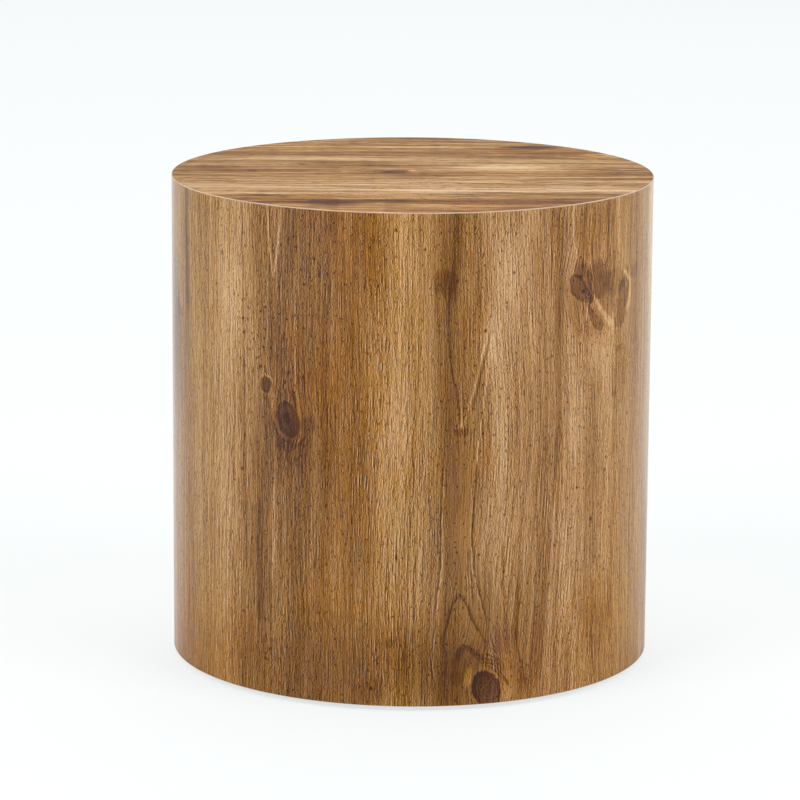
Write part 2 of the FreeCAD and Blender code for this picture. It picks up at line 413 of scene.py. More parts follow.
# What all marks of the print have in common
fray_size = (2.5, 8.0)
fray_reach = (0.35, 0.9)
column_step = 57.31
pale_half_most = 0.3
pale_half_lift = 0.07
beside_share = -0.6
full_stripe = 0.8
ring_turns = 30.0
ring_end = (1.1, 0.9)
speck_core = 0.4
speck_warmth = -0.3


def turned(name, outline, skins, start, sweep, steps):
    """Turns an outline of radii and heights about the drum's axis, all the way round or part of it."""
    mesh = bpy.data.meshes.new(name)
    shape = bmesh.new()
    whole = sweep == 2 * math.pi
    centre = {}
    columns = []
    for step in range(steps if whole else steps + 1):
        turn = start + sweep * step / steps
        column = []
        for radius, height in outline:
            if radius or height not in centre:
                corner = (radius * math.cos(turn), radius * math.sin(turn), height)
                column.append(shape.verts.new(corner))
            else:
                column.append(centre[height])
            if not radius:
                centre[height] = column[-1]
        columns.append(column)
    if whole:
        columns.append(columns[0])
    for left, right in zip(columns, columns[1:]):
        for k, skin in enumerate(skins):
            after = (k + 1) % len(outline)
            corners = list(dict.fromkeys((left[k], right[k], right[after], left[after])))
            if len(corners) > 2:
                shape.faces.new(corners).material_index = skin
    if not whole:
        for ends in (columns[0], columns[-1]):
            shape.faces.new(ends).material_index = 1
    bmesh.ops.recalc_face_normals(shape, faces=shape.faces)
    shape.to_mesh(mesh)
    shape.free()
    mesh.shade_smooth()
    mesh.set_sharp_from_angle(angle=crease)
    piece = bpy.data.objects.new(name, mesh)
    bpy.context.scene.collection.objects.link(piece)
    return piece


def curve(value, points):
    """Reads a smooth curve, drawn through the given points, at a value."""
    made = value.tree.nodes.new("ShaderNodeFloatCurve")
    made.mapping.use_clip = False
    made.mapping.extend = "HORIZONTAL"
    line = made.mapping.curves[0].points
    line[0].location = points[0]
    line[1].location = points[-1]
    for point in points[1:-1]:
        line.new(*point)
    for point in line:
        point.handle_type = "AUTO_CLAMPED"
    made.mapping.update()
    feed(made.inputs["Value"], value)
    return Tone(made.outputs[0])


def mixed(share, first, second):
    """Mixes two colours."""
    made = share.tree.nodes.new("ShaderNodeMix")
    made.data_type = "RGBA"
    made.clamp_factor = False
    feed(made.inputs[0], share)
    feed(made.inputs[6], first)
    feed(made.inputs[7], second)
    return Tone(made.outputs[2])


class Print:
    """A printed wood grain under way, over places in millimetres across and along its lines."""

    def __init__(self, across, along, pale, warm, red):
        self.across = across
        self.along = along
        self.place = across.node("CombineXYZ", across, along)
        self.lines = across
        self.pale = curve(across, pale)
        self.warm = curve(across, warm)
        self.red = curve(across, red)
        self.fray()

    def tint(self, share, pale=0.0, warm=0.0, red=0.0):
        """Makes the wood paler, warmer or redder by a share that varies over it."""
        if pale:
            self.pale = self.pale.plus(share, pale)
        if warm:
            self.warm = self.warm.plus(share, warm)
        if red:
            self.red = self.red.plus(share, red)

    def fray(self):
        """Makes the edges of knots and marks uneven."""
        aside = self.noise(*fray_size, 3.3, 2.0, self.place)
        self.rough_across = self.across.plus(aside, fray_reach[0])
        onward = self.noise(*fray_size, 8.9, 2.0, self.place)
        self.rough_along = self.along.plus(onward, fray_reach[1])
        self.ragged = self.across.node("CombineXYZ", self.rough_across, self.rough_along)

    def oval(self, at, size, tilt=0.0, place=None):
        """How far a point is from an oval's middle, where 1 is its edge."""
        place = place or self.ragged
        if not tilt:
            scale = (1 / size[0], 1 / size[1], 0.0)
            start = (-at[0] / size[0], -at[1] / size[1], 0.0)
            inside = place.node("VectorMath", place, scale, start, operation="MULTIPLY_ADD")
            return inside.node("VectorMath", inside, output=1, operation="LENGTH")
        square = 0.0
        for half, turn in zip(size, (tilt, tilt + 90)):
            axis = (math.cos(math.radians(turn)) / half, math.sin(math.radians(turn)) / half, 0.0)
            far = place.node("VectorMath", place, axis, output=1, operation="DOT_PRODUCT")
            far = far - (axis[0] * at[0] + axis[1] * at[1])
            square = far.node("Math", far, far, square, operation="MULTIPLY_ADD")
        return square.math("SQRT")

    def spot(self, at, size, tilt=0.0, edge=0.0, place=None):
        """A soft oval: 1 in its middle and 0 past its edge."""
        return self.oval(at, size, tilt, place).fade(1.0, edge)

    def patch(self, at, size, pale, warm=0.0, tilt=0.0, edge=0.0):
        """A paler, darker or warmer oval, soft from its edge share outward."""
        self.tint(self.spot(at, size, tilt, edge), pale, warm)

    def bend(self, at, size, pull, tilt=0.0):
        """Spreads the grain lines about a point, as they go round a knot."""
        share = self.spot(at, size, tilt, place=self.place)
        self.lines = self.lines.plus((self.across - at[0]) * share, -pull)

    def lean(self, at, size, slope):
        """Slants the grain lines to the right on their way up."""
        share = self.spot(at, size, edge=0.3, place=self.place)
        self.lines = self.lines.plus((self.along - at[1]) * share, -slope)

    def sway(self, width, length, reach, start):
        """Lets the grain lines wander sideways."""
        self.lines = self.lines.plus(self.noise(width, length, start, 1.0, self.place), reach)

    def comb(self):
        """Fixes the lines, once they are bent, as the place that streaks are drawn over."""
        self.grain = self.lines.node("CombineXYZ", self.lines, self.along)

    def noise(self, width, length, start, detail, place):
        """Soft noise from -1 to 1, whose spots have the given width and length."""
        scale = (1 / width, 1 / length, 0.0)
        spots = place.node("VectorMath", place, scale, (start, start, 0.0), operation="MULTIPLY_ADD")
        made = place.node("TexNoise", spots, None, 1.0, detail, noise_dimensions="2D")
        return made.spread(*noise_span, -1.0, 1.0)

    def streaks(self, width, length, start, depth, detail=2.0, where=None):
        """Long soft lines, paler and darker."""
        line = self.noise(width, length, start, detail, self.grain)
        self.tint(line * where if where else line, depth)

    def fibres(self, width, length, start, depth, where=None):
        """Crisp short fibres in columns along the lines, each half dark and half faintly pale."""
        steps = {"operation": "MULTIPLY_ADD"}
        across = self.lines.node("Math", self.lines, 0.5 / width, start, **steps)
        half = across.math("FRACT").math("SUBTRACT", 0.5).math("SIGN")
        column = across.math("FLOOR")
        shift = column.node("TexWhiteNoise", None, column, noise_dimensions="1D")
        row = self.along.node("Math", self.along, 1 / length, shift, **steps).math("FLOOR")
        cell = row.plus(column, column_step)
        tone = cell.node("TexWhiteNoise", None, cell, noise_dimensions="1D").spread(0, 1, -1, 1)
        shade = (tone * abs(tone) * half).math("MINIMUM", pale_half_most) + pale_half_lift
        self.tint(shade * where if where else shade, depth)

    def dashes(self, width, length, start, depth, low, high, warm=0.0, where=None, beside=0.0):
        """Short lines, where the noise is above a low bound, with a paler line beside each."""
        dash = self.noise(width, length, start, 1.0, self.grain).fade(low, high)
        self.tint(dash * where if where else dash, depth, warm)
        if beside:
            near = self.grain.node("VectorMath", self.grain, (beside, 0, 0), operation="ADD")
            pale = self.noise(width, length, start, 1.0, near).fade(low, high)
            self.tint(pale * where if where else pale, beside_share * depth)

    def stripe(self, path, profile):
        """A line drawn along the grain through points (along, across), shaded from left to right."""
        side = self.rough_across - curve(self.rough_along, path)
        middle = (path[0][0] + path[-1][0]) / 2
        half = (path[-1][0] - path[0][0]) / 2
        inside = abs(self.rough_along - middle).fade(half, half * full_stripe)
        self.tint(curve(side, profile) * inside, 1.0)

    def tongue(self, middle, half, profile, ends=None, warm=0.0):
        """A shape drawn by its middle line and half width along the grain, shaded from inside out."""
        across = abs(self.rough_across - curve(self.rough_along, middle))
        shade = curve(across - curve(self.rough_along, half), profile)
        if ends:
            shade = shade * self.rough_along.fade(*ends)
        self.tint(shade, 1.0, warm)

    def arc(self, at, size, profile, spot, spot_size, tilt=0.0):
        """The part of an oval line that lies in a soft spot, shaded from inside out."""
        side = (self.oval(at, size, tilt) - 1.0) * size[0]
        self.tint(curve(side, profile) * self.spot(spot, spot_size), 1.0)

    def knot(self, at, size, profile, tilt=0.0, rings=0.0, warm=0.0):
        """A branch's end, shaded from its core to past its edge, with fine rings."""
        out = self.oval(at, size, tilt)
        shade = curve(out, profile)
        if rings:
            shade = shade.plus((out * ring_turns).math("SINE") * out.fade(*ring_end), rings)
        self.tint(shade, 1.0, warm)

    def specks(self, places, size, depth):
        """Small dark dots, as worms and bark leave them."""
        nearest = None
        for at in places:
            far = self.ragged.node("VectorMath", self.ragged, (*at, 0), output=1, operation="DISTANCE")
            nearest = far.math("MINIMUM", nearest) if nearest else far
        self.tint(nearest.fade(size, size * speck_core), depth, speck_warmth)

    def dots(self, spacing, size, share, depth, where):
        """Small dark dots strewn over a part of the print."""
        cells = self.ragged.node("TexVoronoi", self.ragged, None, 1 / spacing, voronoi_dimensions="2D")
        dot = cells.fade(size / spacing, speck_core * size / spacing)
        chance = cells.node("SeparateColor", Tone(cells.socket.node.outputs[1]))
        chosen = chance.math("LESS_THAN", share)
        self.tint(dot * chosen * where, depth, speck_warmth)

    def colour(self):
        """The print's paint: between its cool and its warm row, and some of it nearer to red."""
        plain = mixed(self.warm, ramp(self.pale, cool_row), ramp(self.pale, warm_row))
        turn = self.red.node("VectorMath", self.red, red_turn, plain_turn, operation="MULTIPLY_ADD")
        return turn.node("VectorMath", plain, turn, operation="MULTIPLY")


seam_half = seam_gap / 2 / side_radius
side_sheet = turned(
    "side_sheet",
    [
        (side_radius - sheet, side_low.z),
        (side_radius - arris, side_low.z),
        (side_radius, side_low.z + arris),
        (side_radius, side_high.z),
        (side_radius - sheet, side_high.z),
    ],
    [1, 1, 0, 1, 1],
    math.pi / 2 + seam_half,
    2 * (math.pi - seam_half),
    round_steps,
)
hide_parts("side_laminate")
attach(side_sheet, "root")

side_finish = Finish("side_print", print_gloss)
side_finish.shader.inputs["Coat Weight"].default_value = 1.0
side_finish.shader.inputs["Coat IOR"].default_value = film_bend
side_finish.shader.inputs["Coat Roughness"].default_value = film_roughness
right, away, up = side_finish.place.parts()
around = right.math("ARCTAN2", away * -1.0) * (side_radius / mm)
side = Print(
    around,
    up,
    pale=[
        (-630, 0.6), (-600, 0.52), (-575, 0.64), (-545, 0.7), (-510, 0.56), (-480, 0.5), (-450, 0.62),
        (-420, 0.68), (-390, 0.6), (-360, 0.48), (-335, 0.58), (-300, 0.55), (-262, 0.54),
        (-240, 0.54), (-220, 0.57), (-195, 0.65), (-168, 0.71), (-150, 0.65), (-136, 0.56),
        (-118, 0.49), (-92, 0.43), (-70, 0.46), (-48, 0.5), (-34, 0.57), (-18, 0.68), (8, 0.67),
        (20, 0.57), (29, 0.42), (38, 0.47), (50, 0.56), (62, 0.64), (74, 0.69), (92, 0.67),
        (112, 0.63), (122, 0.62), (132, 0.67), (150, 0.67), (170, 0.67), (195, 0.62), (225, 0.59),
        (290, 0.6), (318, 0.54), (345, 0.66), (372, 0.69), (404, 0.57), (436, 0.49), (468, 0.61),
        (500, 0.69), (532, 0.58), (560, 0.51), (592, 0.63), (630, 0.6),
    ],
    warm=[
        (-300, 1.7), (-240, 1.6), (-180, 0.9), (-120, 0.6), (-85, 1.0), (-60, 1.3), (-40, 1.3),
        (0, 1.15), (20, 0.8), (45, 0.85), (70, 0.6), (130, 0.65), (160, 0.85), (200, 1.4), (240, 1.7),
        (300, 1.6),
    ],
    red=[
        (-300, -0.5), (-240, -0.5), (-200, 0.2), (-140, 0.9), (-100, 1.2), (-60, 1.9), (-20, 1.4),
        (20, 0.4), (60, 0.9), (100, 1.5), (140, 1.7), (180, 1.5), (220, 0.7), (260, -0.8), (300, -0.5),
    ],
)

# Warmer wood towards the foot, and redder patches: place, size, share
side.tint(up.fade(150, 10), 0.0, 0.5)
for at, size, red in [
    ((-85, 265), (45, 70), 1.8),
    ((85, 30), (70, 60), 1.8),
    ((165, 345), (45, 65), 1.6),
    ((-160, 20), (60, 60), 1.6),
    ((-40, 370), (40, 50), 1.2),
    ((-102, 234), (14, 18), 2.5),
    ((63, 18), (16, 20), 2.5),
]:
    side.tint(side.spot(at, size), red=red)

# Grain lines lean right about the middle and go round the knots
side.sway(60, 300, 2.5, 1.7)
side.lean((100, 110), (75, 240), 0.06)
for at, size, pull, *tilt in [
    ((-104, 236), (24, 40), 0.6, 10),
    ((-124, 260), (12, 20), 0.6),
    ((63, 19), (36, 62), 0.8),
    ((41, 240), (16, 50), 0.45, -6),
    ((42, 80), (26, 60), 0.5),
    ((152, 336), (30, 42), 0.7, 30),
    ((205, 320), (24, 44), 0.7, -10),
    ((-255, 303), (20, 34), 0.7),
    ((-430, 150), (26, 44), 0.75),
    ((390, 260), (28, 46), 0.75),
    ((560, 90), (22, 40), 0.7),
]:
    side.bend(at, size, pull, *tilt)
side.comb()

# Broad soft patches: place, size, paleness and, where it is given, warmth
for at, size, *shades in [
    ((-162, 340), (26, 130), 0.08),
    ((-185, 395), (40, 60), -0.08),
    ((-150, 90), (26, 130), -0.12),
    ((-190, 15), (90, 60), -0.1, 0.3),
    ((-140, 295), (16, 50), 0.08),
    ((-36, 385), (20, 80), -0.12, 0.1),
    ((-112, 300), (22, 90), -0.06, -0.1),
    ((-118, 145), (7, 60), 0.1),
    ((-112, 225), (30, 50), -0.1, -0.1),
    ((-98, 90), (18, 80), 0.06),
    ((-62, 110), (30, 100), 0.06),
    ((-20, 200), (14, 140), 0.06),
    ((78, 340), (22, 120), 0.07),
    ((60, 55), (60, 60), -0.08),
    # Darker along the foot across the whole front: painted shade near the floor
    ((0, 40), (300, 60), -0.08),
    ((50, 20), (60, 30), -0.1, 0.1),
    ((-4, 42), (44, 60), -0.24, 0.1),
    ((90, 90), (20, 90), -0.06),
    ((195, 65), (20, 30), -0.02, 0.5),
    ((170, 60), (50, 90), -0.09),
    ((127, 350), (7, 90), -0.1),
    ((126, 330), (14, 90), -0.05),
    ((140, 80), (14, 90), 0.07),
    ((228, 295), (10, 80), -0.1, -0.3),
    ((-231, 330), (7, 90), -0.12),
    ((30, 350), (12, 60), -0.05, 0.2),
    ((-255, 280), (34, 90), -0.12),
    # Paler high on the right edge, as the camera sees it: a painted sheen
    ((284, 370), (30, 130), 0.34),
    ((-95, 212), (32, 36), -0.07),
    ((-150, 40), (26, 60), -0.08),
    ((80, 66), (36, 95), -0.05, 0.1),
    ((202, 265), (16, 50), -0.12, 0.2),
    ((186, 130), (40, 110), -0.06, 0.2),
    ((176, 60), (50, 60), -0.03, 0.3),
    ((-190, 70), (60, 60), 0.0, 0.3),
    ((62, 303), (16, 36), 0.15),
    ((80, 355), (18, 60), 0.15),
    ((-158, 325), (16, 60), 0.14),
    ((-38, 85), (16, 60), 0.08),
    ((-10, 235), (22, 60), 0.09),
    ((102, 306), (14, 50), 0.09),
    ((142, 226), (14, 40), 0.1),
    ((121, 150), (14, 80), 0.13),
    ((182, 106), (14, 50), 0.1),
    ((142, 66), (16, 50), 0.08),
    ((-180, 180), (20, 80), 0.06),
    ((60, 106), (12, 30), -0.08),
    # Darker down the left and right edges, as the camera sees them: painted shade
    ((-272, 285), (26, 95), -0.26, 0.2),
    ((280, 80), (26, 130), -0.26, 0.2),
    ((-245, 20), (50, 90), -0.03, 0.9),
    ((262, 60), (44, 140), 0.0, 0.9),
    ((0, 0), (200, 150), 0.0, -0.4),
    ((-60, 20), (80, 80), 0.0, -0.8),
    ((165, 190), (22, 60), -0.07),
    ((-128, 190), (18, 40), -0.07),
    ((92, 24), (18, 30), -0.09),
    ((122, 392), (14, 30), -0.1),
    ((222, 392), (14, 30), -0.1),
    ((4, 394), (14, 26), -0.09),
    ((140, 392), (14, 26), -0.09),
    ((-90, 330), (40, 60), 0.06),
    ((40, 146), (16, 30), 0.07),
    ((-118, 66), (16, 36), 0.08),
    ((246, 110), (22, 50), 0.06),
    ((62, 85), (16, 36), -0.07),
    ((-75, 370), (60, 110), 0.0, -0.6),
    ((30, 110), (70, 120), 0.0, -0.4),
    ((-80, 160), (60, 110), 0.0, -0.35),
    ((-222, 66), (18, 50), -0.07),
    ((-560, 300), (30, 140), -0.1, 0.1),
    ((-470, 60), (34, 120), -0.1, 0.1),
    ((-400, 330), (30, 120), 0.1),
    ((350, 110), (26, 120), -0.12, 0.1),
    ((440, 320), (30, 130), 0.12),
    ((530, 250), (26, 130), -0.12, 0.1),
    ((-100, 115), (50, 80), 0.04),
    ((22, 66), (14, 40), 0.08),
    ((180, 392), (20, 30), -0.12),
    ((42, 345), (12, 30), 0.07),
    ((-8, 106), (24, 40), -0.07),
    ((24, 106), (12, 40), 0.08),
]:
    side.patch(at, size, *shades)

# Marks along the grain: their path (along, across) and their shade from left to right
dark_left = [(-2.6, 0), (-1.4, -0.1), (-0.7, -0.34), (-0.1, 0), (0.4, 0.32), (1, 0.04), (1.8, 0)]
dark_right = [(-1.6, 0), (-0.5, 0.14), (0.1, -0.04), (0.7, -0.34), (1.6, -0.12), (3.5, 0)]
thin_pale = [(-1.1, 0), (0, 0.24), (1.1, 0)]
faint_pale = [(-1, 0), (0, 0.12), (1, 0)]
thin_dark = [(-1.2, 0), (-0.3, -0.24), (0.4, -0.2), (1.5, 0)]
soft_dark = [(-5, 0), (-1, -0.16), (1, -0.16), (5, 0)]
soft_pale = [(-4.5, 0), (-1.5, 0.12), (1.5, 0.12), (4.5, 0)]
for path, profile in [
    (
        [(4, 111), (60, 115), (100, 118), (140, 121), (175, 124), (230, 127)],
        [(-17, 0), (-11, -0.06), (-4, -0.11), (-0.7, -0.14), (0.8, 0.05), (10, 0.03), (20, 0)],
    ),
    ([(-10, 126), (250, 127), (310, 127), (420, 131)], [(-4, 0), (-1, -0.1), (0.8, -0.08), (4, 0)]),
    ([(70, 20), (80, 21), (95, 22), (110, 24), (125, 25), (150, 25), (180, 26), (215, 27)], dark_left),
    ([(25, 20), (44, 18), (55, 19), (64, 20), (70, 21)], dark_left),
    (
        [(62, 63.5), (70, 62), (77, 61), (88, 58), (100, 55), (110, 52.5), (117, 51), (130, 50),
         (150, 49), (165, 50), (180, 51), (195, 52), (210, 53)],
        dark_right,
    ),
    ([(104, 53.5), (118, 50.5), (140, 49.5)], faint_pale),
    ([(66, 79), (100, 77), (140, 76)], thin_dark),
    (
        [(190, 190), (250, 190), (306, 191)],
        [(-12, 0), (-5, 0.03), (-0.8, 0.06), (0.6, -0.07), (8, -0.04), (16, 0)],
    ),
    ([(195, 53), (215, 54), (240, 57), (258, 59), (285, 62), (310, 65)], thin_pale),
    ([(240, 39), (248, 38), (262, 36), (280, 32), (300, 30), (320, 29), (350, 30)], thin_dark),
    ([(236, 43), (246, 45), (262, 50), (275, 53), (292, 57), (306, 60)], thin_pale),
    ([(244, 48), (262, 53), (275, 56), (292, 60), (312, 64)], thin_dark),
    ([(8, 98), (16, 98), (25, 96), (35, 94), (45, 91), (60, 89), (110, 90)], thin_dark),
    ([(4, 94), (10, 94), (20, 94), (32, 92)], thin_dark),
    ([(330, 33), (345, 34), (375, 36), (420, 37)], soft_dark),
    ([(335, 199), (352, 202), (370, 199), (390, 196), (430, 195)], soft_pale),
    ([(355, 147), (366, 143), (380, 139), (430, 139)], thin_pale),
    ([(350, 183), (370, 180), (395, 180), (430, 180)], soft_dark),
    ([(300, -229), (350, -232), (430, -232)], soft_dark),
    ([(60, -129), (110, -130), (170, -131)], soft_dark),
    ([(80, -144), (200, -146), (330, -148), (430, -150)], thin_dark),
    ([(96, -118), (140, -116), (192, -116)], thin_pale),
    ([(100, 180), (128, 179), (158, 181)], thin_pale),
    ([(218, 189), (232, 191), (248, 190)], thin_pale),
    ([(10, 172), (35, 168), (62, 166)], thin_dark),
]:
    side.stripe(path, profile)

# Darker wood between the two branches at the upper right, and about the foot's knot
for at, size, pale, warm in [
    ((164, 322), (36, 36), -0.1, 0.1),
    ((169, 342), (19, 20), -0.24, -0.2),
    ((150, 351), (9, 9), -0.1, -0.3),
    ((193, 337), (18, 14), -0.13, -0.1),
    ((54, 42), (26, 18), -0.06, -0.1),
]:
    side.patch(at, size, pale, warm, edge=0.6)

# Tongues and lobes: their middle line and half width along the grain, their shade from inside out
# and, where given, their soft ends and warmth
line_dark = [(-1.6, 0.04), (-0.7, -0.08), (0, -0.38), (0.6, -0.24), (2.2, -0.06), (5, 0)]
line_pale = [(-1.6, 0), (0, 0.26), (1.5, 0)]
band_dark = [(-12, 0), (-8, -0.02), (-6, -0.14), (-1, -0.2), (0.8, 0), (3, 0)]
lobe = [(-6, -0.24), (-2.4, -0.27), (-0.8, -0.38), (0.3, -0.12), (1.2, 0.02), (3, 0)]
brown_fill = [(-3, -0.2), (-0.8, -0.24), (1, 0)]
pale_fill = [(-2, 0.18), (-0.4, 0.14), (1, 0)]
bright_fill = [(-2, 0.32), (-0.4, 0.24), (1, 0)]
for middle, half, profile, *more in [
    (
        [(40, 45), (50, 45), (60, 43.5), (70, 41.5), (78, 40.5), (86, 40), (96, 40)],
        [(40, 18), (50, 17.3), (60, 15.7), (68, 12.2), (76, 9.3), (84, 6.8), (90, 4.2), (94, 1.5),
         (96, 0), (103, -6)],
        line_dark, (38, 74),
    ),
    (
        [(28, 52), (36, 50), (44, 48), (50, 45.5), (55, 45)],
        [(28, 21), (36, 17), (44, 12), (50, 7.5), (53, 4), (55, 0), (62, -8)],
        band_dark, (34, 48),
    ),
    ([(349, -117), (430, -115)], [(340, -4), (349, 0), (360, 2.2), (430, 9)], line_pale),
    (
        [(198, -121), (236, -122)],
        [(190, -5), (197, 0), (200, 2.5), (206, 4.5), (220, 6), (240, 6)],
        [(-1.6, 0), (0, 0.14), (1.5, 0)], (240, 224),
    ),
    (
        [(323, 161), (325, 158.5), (327, 155), (330, 151.5), (335, 147), (340, 145), (345, 143),
         (350, 142)],
        [(319, -6), (323, 0), (325, 4.5), (327, 7), (330, 8.5), (335, 9.4), (340, 8.2), (345, 6.8),
         (350, 0), (355, -6)],
        lobe, None, 0.6,
    ),
    (
        [(300, 173), (305, 170), (310, 166), (316, 161), (322, 157)],
        [(296, -4), (300, 2), (304, 6.5), (309, 6), (316, 2.6), (323, 0), (330, -6)],
        brown_fill, None, 0.3,
    ),
    (
        [(300, 189), (306, 184), (312, 178), (318, 172), (325, 167), (331, 163.5)],
        [(296, 1), (302, 3.2), (307, 4), (312, 3.2), (318, 2.6), (325, 1.8), (331, 0), (340, -6)],
        bright_fill, (294, 308),
    ),
    (
        [(308, 159), (316, 156), (323, 153.5)],
        [(300, -3), (308, 1.0), (316, 1.2), (323, 0), (330, -4)],
        pale_fill,
    ),
    (
        [(306, 189), (312, 187), (320, 186)],
        [(296, 3), (306, 3), (313, 2), (320, 0), (328, -5)],
        pale_fill, (292, 306),
    ),
    (
        [(298, 200), (304, 200), (310, 202.5), (316, 204.2), (322, 205.5), (330, 206.2), (339, 207)],
        [(294, -5), (298, 2), (301, 7), (305, 7.6), (311, 6.8), (318, 7.6), (330, 7.8), (336, 5),
         (339, 0), (345, -6)],
        brown_fill, None, 0.6,
    ),
    (
        [(310, 212.5), (315, 215), (321, 217), (328, 217.4), (334, 216.3), (339, 213), (343, 208.5)],
        [(306, -3), (311, 1), (316, 2), (322, 1.7), (332, 1.3), (338, 2.2), (342, 2.6), (345, 0),
         (349, -4)],
        bright_fill,
    ),
]:
    side.tongue(middle, half, profile, *more)

# Dark and pale wood about the knots: place, size, paleness and, where given, warmth and tilt
for at, size, *shades in [
    ((147, 353), (9, 11), -0.2),
    ((158, 385), (20, 40), -0.14, 0.2),
    ((178, 284), (24, 34), 0.12),
    ((228, 340), (10, 8), -0.12, -0.2),
    ((-104, 235.5), (4.4, 7), -0.14, 0.1, 14),
    ((-84, 231), (11, 8), -0.12, -0.2),
    ((-105, 213), (13, 8), -0.12, -0.3),
    ((-120, 222), (9, 16), -0.05, -0.2),
    ((-117, 248), (4, 14), 0.16, 0.2, 8),
    ((-123, 248), (3, 9), -0.14, 0.0, 14),
    ((26, 350), (13, 14), -0.16),
    ((41, 236), (4, 6), 0.18),
    ((41, 229), (9, 5), -0.12),
    ((47.5, 27), (4, 12), 0.26, 0.8, -12),
    ((38, 27), (8, 8), -0.1),
    ((83, 17), (8, 19), 0.12, 0.5),
    ((76, 58), (18, 16), -0.1, -0.3),
    ((80, 22), (1.8, 7), -0.34, -0.2, 32),
    ((-15, 57), (6, 6), -0.14),
    ((-30, 16), (14, 16), -0.12),
    ((199, 281), (5, 4), -0.2),
    ((193, 244), (5, 4), -0.16),
    ((169, 99), (6, 9), 0.14),
    ((-247, 310), (5, 8), 0.1),
]:
    side.patch(at, size, *shades, edge=0.45)

# Arcs about the knots: oval, shade, and the spot in which they show
fine_line = [(-1.2, 0), (0, -0.26), (1.2, 0)]
faint_line = [(-1, 0), (0, -0.13), (1, 0)]
for at, size, profile, spot, spot_size, tilt in [
    ((-102, 232), (17, 20), fine_line, (-90, 219), (14, 12), 15),
    ((-102, 232), (21, 24), fine_line, (-88, 215), (14, 10), 15),
    ((-102, 232), (14, 18), fine_line, (-112, 224), (10, 12), 15),
    ((-102, 232), (12, 16.0), faint_pale, (-110, 224), (9, 12), 18),
    ((-124, 260), (7.5, 8.5), line_pale, (-120, 266), (8, 7), 0),
    ((63, 17), (14.6, 19.4), fine_line, (70, 33), (18, 16), 22),
    ((63, 17), (17.2, 22.6), fine_line, (70, 36), (20, 16), 22),
    ((63, 17), (19.8, 25.8), fine_line, (70, 39), (22, 16), 22),
    ((63, 17), (22.6, 29.4), fine_line, (68, 43), (24, 16), 22),
    ((205, 322), (11, 13.5), faint_line, (203, 338), (14, 9), 0),
    ((205, 322), (8.6, 10.5), faint_line, (206, 332), (11, 8), 0),
    ((214, 336), (9, 10), faint_line, (216, 345), (10, 7), -20),
]:
    side.arc(at, size, profile, spot, spot_size, tilt)

# Knots: middle, size, tilt, rings, warmth and their shade from core to rim
dark_knot = [(0, -0.28), (0.7, -0.31), (0.95, -0.36), (1.03, -0.08), (1.12, 0.06), (1.4, 0)]
eye_knot = [
    (0, -0.2), (0.5, -0.16), (0.85, -0.17), (0.96, -0.2), (1.04, -0.06), (1.12, 0.02), (1.4, 0),
]
small_knot = [(0, -0.22), (0.7, -0.22), (0.9, -0.28), (1.05, 0), (1.2, 0.08), (1.5, 0)]
for at, size, tilt, rings, warm, profile in [
    ((63.5, 15.8), (11.6, 16.4), 22, 0.05, 1.4, dark_knot),
    ((-102.5, 234), (9.6, 14.5), 20, 0.04, 0.5, eye_knot),
    ((-124, 260), (5.5, 6.5), -10, 0.02, 1.2, small_knot),
    ((151, 334), (1.8, 1.6), 0, 0.0, 0.4, dark_knot),
    ((-255, 303), (7, 8), 0, 0.0, 0.5, eye_knot),
    ((-430, 150), (9, 13), -15, 0.03, 0.6, eye_knot),
    ((390, 260), (10, 14), 12, 0.03, 0.6, dark_knot),
    ((560, 90), (7, 10), 0, 0.03, 0.6, eye_knot),
]:
    side.knot(at, size, profile, tilt, rings, warm)

side.specks(
    [(-148, 311), (-129, 274), (-173, 361), (-149, 187), (-120, 42), (-31, 18), (-11, 128),
     (59, 310), (-13, 392), (83, 356), (216, 224), (182, 183), (164, 145)],
    2.0, -0.42,
)
side.specks(
    [(-158, 329), (-149, 325), (-142, 320), (-129, 319), (-124, 323), (-143, 311), (-147, 300),
     (-137, 295), (-125, 305), (-126, 290), (-119, 290), (-141, 287), (-133, 281), (-102, 272),
     (-127, 233), (-88, 345), (-79, 366), (-158, 177), (-148, 68), (-124, 65), (-123, 33), (-82, 63),
     (-52, 136), (-41, 117), (56, 128), (108, 80), (51, 283), (36, 351), (73, 263), (67, 226),
     (10, 377), (77, 333), (149, 292), (183, 277), (147, 173), (137, 166), (183, 193), (174, 155),
     (142, 141), (124, 129), (176, 112), (132, 65)],
    1.5, -0.4,
)
# Streaks and pores, which are longest and darkest in the golden wood in front and faint in knots
drawn = side.pale
side.streaks(15, 420, 3.1, 0.06)
side.streaks(5.0, 220, 7.7, 0.05)
side.streaks(2.0, 200, 11.3, 0.045)
side.streaks(0.8, 160, 13.9, 0.06, 1.0)
side.fibres(0.7, 24.0, 15.3, 0.26)
side.fibres(0.65, 7.0, 17.9, 0.24)
side.fibres(0.6, 1.0, 31.7, 0.44)
golden = side.spot((-20, 170), (50, 300), edge=0.4)
brown = side.spot((-70, 230), (60, 300), edge=0.4)
coarse = abs(side.across).fade(20, 150)
side.streaks(1.0, 60, 19.3, 0.07, 1.0, coarse)
side.fibres(0.95, 7.0, 20.9, 0.26, coarse)
side.dashes(0.9, 120, 21.7, -0.12, 0.45, 0.8, -0.2)
side.dashes(0.6, 9.0, 23.1, -0.12, 0.45, 0.9, -0.3)
side.dashes(0.8, 16.0, 37.7, -0.44, 0.55, 0.9, -0.8, golden, 0.9)
side.dashes(0.7, 12.0, 41.9, -0.14, 0.4, 0.9, -0.3, brown)
side.tint(side.noise(5.0, 60, 43.3, 2.0, side.grain), 0.0, 0.35)
calm = None
